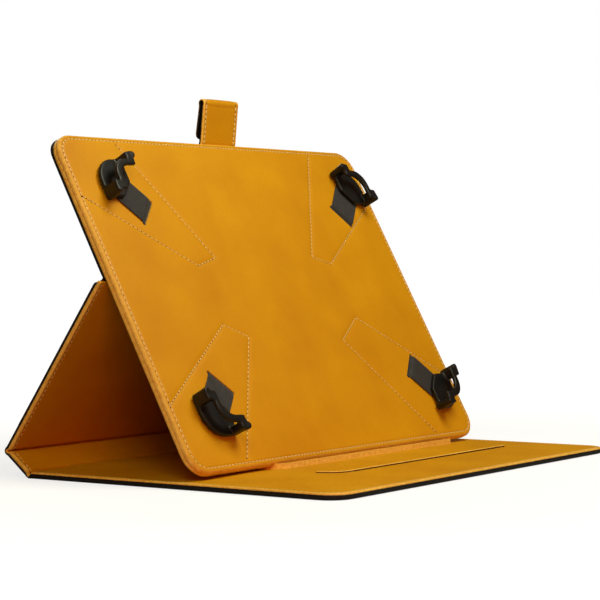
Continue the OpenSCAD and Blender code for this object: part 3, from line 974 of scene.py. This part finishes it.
def band_points():
    """The band's cross rings: ribs run along it, and it turns down into its slit."""
    line = np.array(BAND_LINE)
    rows = np.concatenate([np.linspace(line[0], line[1], 13), line[2:]])
    tangent = np.gradient(rows, axis=0)
    tangent /= np.linalg.norm(tangent, axis=1)[:, None]
    normal = np.stack([-tangent[:, 1], tangent[:, 0]], 1)
    across = np.linspace(-BAND_WIDTH / 2, BAND_WIDTH / 2, RIBS * 4 + 1)
    thick = 0.46 + 0.12 * np.cos(across / BAND_WIDTH * RIBS * 2 * math.pi)
    thick *= np.sqrt(np.clip(1 - (np.abs(across) / (BAND_WIDTH / 2 + 0.15)) ** 12, 0, 1))
    rings = []
    for centre, up in zip(rows, normal):
        top = [[centre[0] + up[0] * t, a, centre[1] + up[1] * t] for a, t in zip(across, thick)]
        low = [[centre[0] - up[0] * t, a, centre[1] - up[1] * t] for a, t in zip(across, thick)]
        rings.append(top + low[::-1])
    return np.array(rings)


rings = band_points()
ring_count, ring_size = rings.shape[:2]
band_faces = []
for i in range(ring_count - 1):
    for k in range(ring_size):
        j = (k + 1) % ring_size
        band_faces.append([i * ring_size + k, i * ring_size + j, (i + 1) * ring_size + j,
                           (i + 1) * ring_size + k])
band_faces.append(list(range(ring_size))[::-1])
band_faces.append([(ring_count - 1) * ring_size + k for k in range(ring_size)])
SHORT = {"lower_left": "ll", "lower_right": "lr", "upper_left": "ul", "upper_right": "ur"}
for word, (side, end) in CORNERS.items():
    flat = from_corner(on_diagonal(rings.reshape(-1, 3)), side, end)
    turned = band_faces if side * end > 0 else [f[::-1] for f in band_faces]
    band = build("elastic_" + word + "_band", holder.place(flat), turned, elastic.material)
    ends = holder.place(from_corner(on_diagonal([[EXIT_AT - 2, 0, 6.5], [26, 0, 6.5]]),
                                    side, end)) * MM
    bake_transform(band)
    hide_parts("elastic_" + word)

# ======================================================================================
# Corner grips. Each is one soft moulding of black rubber: a base that lies on its band,
# two round-ended arms beside the tablet's edges, and a lip over its corner. The corner
# itself stays open between base and lip.
# ======================================================================================
TABLET_RADIUS = 11
GRIP_WALL = 4.5
GRIP_REACH = 19.75
GRIP_ARM = 22
BASE_CUT = 10.25
GRIP_BASE = (7.1, 9.8)
GRIP_LIP = (15.9, 18.3)
POST_START = 14
VOXEL = 0.42


def arc(centre, radius, start, end, steps=14):
    turn = np.radians(np.linspace(start, end, steps))
    return np.stack([centre[0] + radius * np.cos(turn), centre[1] + radius * np.sin(turn)], 1)


def grip_outlines():
    """The flat outlines that the moulding is built from, with x and y from the corner."""
    r, w = TABLET_RADIUS, GRIP_WALL
    base = np.concatenate([arc((r, r), r + w, 180, 270), [[GRIP_REACH, -w], [GRIP_REACH, BASE_CUT]],
                           [[BASE_CUT, GRIP_REACH], [-w, GRIP_REACH]]])
    lip = np.concatenate([arc((r, r), r + 0.1, 180, 270), [[GRIP_REACH, -0.1]],
                          [[GRIP_REACH, 3.7]], arc((14, 14), 10.1, 270, 180),
                          [[3.7, GRIP_REACH], [-0.1, GRIP_REACH]]])
    arm = np.concatenate([[[POST_START, -w], [GRIP_ARM - w / 2, -w]],
                          arc((GRIP_ARM - w / 2, -w / 2), w / 2, -90, 90),
                          [[POST_START, 0]]])
    return base, lip, arm


def grip_mesh():
    """Joins the outlines' blocks, fuses them with a voxel remesh and softens every edge."""
    base, lip, arm = grip_outlines()
    blocks = [(base, *GRIP_BASE), (lip, *GRIP_LIP), (arm, GRIP_BASE[0], GRIP_LIP[1]),
              (arm[::-1, ::-1], GRIP_BASE[0], GRIP_LIP[1])]
    points, faces = [], []
    for outline, low, high in blocks:
        count, first = len(outline), sum(len(p) for p in points)
        for z in (low, high):
            points.append(np.column_stack([outline, np.full(count, z)]))
        faces += [[first + k, first + (k + 1) % count, first + (k + 1) % count + count,
                   first + k + count] for k in range(count)]
        faces += [[first + k for k in range(count)][::-1],
                  [first + k + count for k in range(count)]]
    raw = build("grip_raw", np.concatenate(points), faces, elastic.material)
    fuse = raw.modifiers.new("fuse", "REMESH")
    fuse.mode, fuse.voxel_size = "VOXEL", VOXEL * MM
    soften = raw.modifiers.new("soften", "SMOOTH")
    soften.factor, soften.iterations = 0.5, 22
    bpy.context.view_layer.update()
    shaped = bpy.data.meshes.new_from_object(
        raw.evaluated_get(bpy.context.evaluated_depsgraph_get()))
    bpy.data.objects.remove(raw)
    flat = np.array([v.co for v in shaped.vertices]) / MM
    shape = [list(p.vertices) for p in shaped.polygons]
    bpy.data.meshes.remove(shaped)
    return flat, shape


rubber = Finish("black_moulded_rubber", Coat_Weight=0.0)
haze = rubber.noise(60, 3)
matt = rubber.noise(2400, 3)
rubber.set({
    "Base_Color": rubber.blend(haze, (0.003, 0.003, 0.0032, 1), (0.006, 0.006, 0.0064, 1)),
    "Roughness": rubber.stretch(haze, 0.3, 0.7, 0.38, 0.52),
    "Normal": rubber.bump(matt, 0.12, 0.0001),
    "Specular_IOR_Level": 0.35,
})
flat_grip, grip_faces = grip_mesh()
above = smooth((flat_grip[:, 2] - 10) / 8)
for axis, other in ((0, 1), (1, 0)):
    on_arm = smooth((flat_grip[:, axis] - 13) / 6) * (flat_grip[:, other] < 0.5)
    flat_grip[:, other] -= on_arm * above * 0.7
    flat_grip[:, 2] += on_arm * above * 0.5 * smooth((flat_grip[:, axis] - 17) / 6)
for word, (side, end) in CORNERS.items():
    turned = grip_faces if side * end > 0 else [f[::-1] for f in grip_faces]
    grip = build("grip_" + word + "_moulding",
                 holder.place(from_corner(flat_grip, side, end)), turned, rubber.material,
                 sharp=70)
    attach(grip, "grip_" + SHORT[word])
    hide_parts("grip_" + word)

# ======================================================================================
# Closure strap. An orange strip and a black strip are sewn back to back. They come out
# of the holder's back at its upper edge, stand up, and fold over behind, where a magnet
# lies between them. The strap's root and its top both bend.
# ======================================================================================
STRAP_WIDTH = 35
STRAP_X = 12.5
STRAP_BEND = math.radians(34)
ROOT_AT = HOLDER_TOP + 2.5
ROOT_Z = -1.1
STRAP_SPLIT = 13.0
TOP_AT = 26.6
TOP_Z = -1.35
TOP_TURN = math.radians(-176.5)
TOP_REACH = 2.2
ROOT_REACH = 2.4
STRAP_END = 49.6
strap = Plate(holder.place([[STRAP_X, ROOT_AT, ROOT_Z]])[0, 1:], holder_tilt + STRAP_BEND,
              HOLDER_SHIFT + STRAP_X)


def over_root(points):
    """Flat strap from the holder's back: y = 0 is the root's axis, z = 0 the middle."""
    bent = folded(points, (0, 0), STRAP_BEND, ROOT_REACH)
    x, y, z = bent.T
    return holder.place(np.stack([x + STRAP_X, y + ROOT_AT, z + ROOT_Z], 1))


def over_top(points):
    return strap.place(folded(points, (TOP_AT, TOP_Z), TOP_TURN, TOP_REACH))


def strap_level(y, upright, end_part):
    """A layer's height above the strap's middle, before and after its top bend."""
    return upright + smooth((y - TOP_AT + 4) / 8) * (end_part + TOP_Z - upright)


def strap_grid(y_low, y_high, free_high, bend_at):
    return leather_grid(STRAP_WIDTH, y_low, y_high, 2.5,
                        corner_high=4.0 if free_high else None,
                        extra=fold_lines(bend_at, 4, 0.35))


STRAP_SEAM = 2.7
BEND_LEVELS = {"upright": ((0.6, 0.6), (-0.4, -0.2)), "folded": ((0.15, -0.25), (-1.12, -1.12))}
for part, y_low, y_high, over, bodies, at, reach in (
        ("upright", -5.0, STRAP_SPLIT, over_root, ("holder", "strap"), 0, ROOT_REACH),
        ("folded", STRAP_SPLIT, STRAP_END, over_top, ("strap", "strap_end"), TOP_AT,
         TOP_REACH)):
    grid = strap_grid(y_low, y_high, part == "folded", at)
    x, y, inset = grid
    tuck = 1 - smooth((y + 5) / 4.5)
    face = strap_level(y, 1.1, 1.85) - tuck * 0.75
    middle = strap_level(y, 0.2, 1.15)
    back = strap_level(y, -1.1, 0.25) + tuck * 0.6
    puff = 0.3 * smooth((inset - 3.4) / 5) * smooth((y - 3) / 5)
    orange_top = face + puff * 0.6 - rounding(inset, 0.75) - seam(inset, STRAP_SEAM, 0.5, 0.28)
    orange_strip = leather_piece("strap_orange_" + part, grid, orange_top,
                                 middle + 0.02, over, orange_leather)
    black_strip = leather_piece("strap_black_" + part, grid, middle,
                                back + rounding(inset, 0.5) + seam(inset, STRAP_SEAM, 0.5, 0.15),
                                over, black_leather)
    levels, black_levels = BEND_LEVELS[part]
    bend(orange_strip, over, at, reach, levels)
    bend(black_strip, over, at, reach, black_levels)
    if part == "upright":
        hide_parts("strap_lining")
        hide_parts("strap_outer_skin", "strap_bead", "strap_core")
    else:
        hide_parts("strap_end_lining", "strap_top_bead")
        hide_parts("strap_end_skin")

    def strap_height(x, y):
        return strap_level(y, 1.1, 1.85) - 0.26

    rows = edge_path(STRAP_WIDTH, max(y_low, 1.0), y_high, STRAP_SEAM,
                     corner_high=4.0 if part == "folded" else None)
    sewn = stitches("stitching_strap_" + part, rows, strap_height, over, cream_thread,
                    bold=1.8)
    bend(sewn, over, at, reach, levels)
carried("strap_tongue", black_leather)

# ======================================================================================
# Magnet and strike plate. A flat nickel-plated magnet is glued inside the strap's end,
# and a thin steel plate for it lies inside the front cover.
# ======================================================================================
plated = Finish("nickel_plate", Metallic=1.0)
scratches = plated.noise(1400, 5, 0.7)
plated.set({
    "Base_Color": plated.blend(scratches, (0.36, 0.37, 0.38, 1), (0.55, 0.56, 0.57, 1)),
    "Roughness": plated.stretch(scratches, 0.3, 0.7, 0.28, 0.42),
    "Normal": plated.bump(scratches, 0.08, 0.0001),
})
for name in ("strap_magnet", "closure_strike_plate"):
    carried(name, plated.material)

# ======================================================================================
# Studio. A plain pale floor, large soft lamps above and in front, and the camera.
# ======================================================================================
paper = Finish("pale_floor", Roughness=0.9)
cloud = paper.noise(3, 2)
spread = paper.node("VectorMath", {"operation": "LENGTH"}, {0: paper.place()}, 1)
glow = paper.blend(paper.stretch(spread, 0.25, 0.7), (0.74, 0.74, 0.74, 1), (1, 1, 1, 1))
seen = paper.node("LightPath")
paper.set({
    "Base_Color": paper.blend(cloud, (0.26, 0.26, 0.26, 1), (0.28, 0.28, 0.28, 1)),
    "Emission_Color": paper.blend(seen, (0.03, 0.03, 0.03, 1), glow),
    "Emission_Strength": 1.0,
})
floor_mesh = bpy.data.meshes.new("floor")
REACH = 6.0
floor_mesh.from_pydata([(-REACH, -REACH, 0), (REACH, -REACH, 0), (REACH, REACH, 0),
                        (-REACH, REACH, 0)], [], [(0, 1, 2, 3)])
floor_mesh.materials.append(paper.material)
floor = bpy.data.objects.new("floor", floor_mesh)
floor.location.z = -0.0002
bpy.context.scene.collection.objects.link(floor)

world = bpy.data.worlds.new("studio")
bpy.context.scene.world = world
world.use_nodes = True
tint = world.node_tree.nodes.new("ShaderNodeMix")
tint.data_type = "RGBA"
tint.inputs[6].default_value = (1.0, 0.4, 0.2, 1)
tint.inputs[7].default_value = (1.0, 1.0, 1.0, 1)
world.node_tree.links.new(tint.outputs[2],
                          world.node_tree.nodes["Background"].inputs["Color"])
seen = world.node_tree.nodes.new("ShaderNodeLightPath")
strength = world.node_tree.nodes.new("ShaderNodeMapRange")
strength.inputs["To Min"].default_value = 0.1
strength.inputs["To Max"].default_value = 1.0
world.node_tree.links.new(seen.outputs["Is Camera Ray"], strength.inputs["Value"])
world.node_tree.links.new(seen.outputs["Is Camera Ray"], tint.inputs["Factor"])
world.node_tree.links.new(strength.outputs["Result"],
                          world.node_tree.nodes["Background"].inputs["Strength"])


def lamp(name, place, target, size, power, colour):
    """A square softbox."""
    data = bpy.data.lights.new(name, "AREA")
    data.size, data.energy, data.color = size, power, colour
    made = bpy.data.objects.new(name, data)
    made.location = place
    away = np.array(place) - np.array(target)
    made.rotation_euler = Vector(away).to_track_quat("Z", "Y").to_euler()
    bpy.context.scene.collection.objects.link(made)


lamp("top_softbox", (0.05, -0.38, 0.8), (0, 0.0, 0.1), 0.45, 6.2, (0.97, 1.0, 0.80))
lamp("left_softbox", (-0.6, -0.3, 0.55), (-0.12, 0.05, 0.17), 0.3, 1.7, (0.85, 1.0, 0.6))
lamp("warm_fill", (-0.95, -0.9, 0.28), (0, 0.05, 0.08), 0.6, 4.4, (1.0, 0.12, 0.02))
lamp("back_softbox", (0.4, 0.9, 0.8), (0, 0.05, 0.1), 0.5, 3.0, (1.0, 0.98, 0.95))

AZIMUTH, ELEVATION, ROLL = (math.radians(a) for a in (-54.907, 0.826, -0.485))
camera_data = bpy.data.cameras.new("camera")
camera_data.lens, camera_data.sensor_width = 121.35, 36
camera_data.shift_x, camera_data.shift_y = -0.01245, -0.02291
camera_data.clip_start, camera_data.clip_end = 0.05, 50
camera = bpy.data.objects.new("camera", camera_data)
back_axis = np.array([math.sin(AZIMUTH) * math.cos(ELEVATION),
                      -math.cos(AZIMUTH) * math.cos(ELEVATION), math.sin(ELEVATION)])
right_axis = np.cross((0, 0, 1), back_axis)
right_axis /= np.linalg.norm(right_axis)
up_axis = np.cross(back_axis, right_axis)
rolled_right = math.cos(ROLL) * right_axis + math.sin(ROLL) * up_axis
rolled_up = -math.sin(ROLL) * right_axis + math.cos(ROLL) * up_axis
pose = np.eye(4)
pose[:3, 0], pose[:3, 1], pose[:3, 2] = rolled_right, rolled_up, back_axis
pose[:3, 3] = (-0.98680, -0.68445, 0.12297)
camera.matrix_world = Matrix(pose.tolist())
bpy.context.scene.collection.objects.link(camera)
bpy.context.scene.camera = camera
bpy.context.scene.view_settings.view_transform = "Standard"
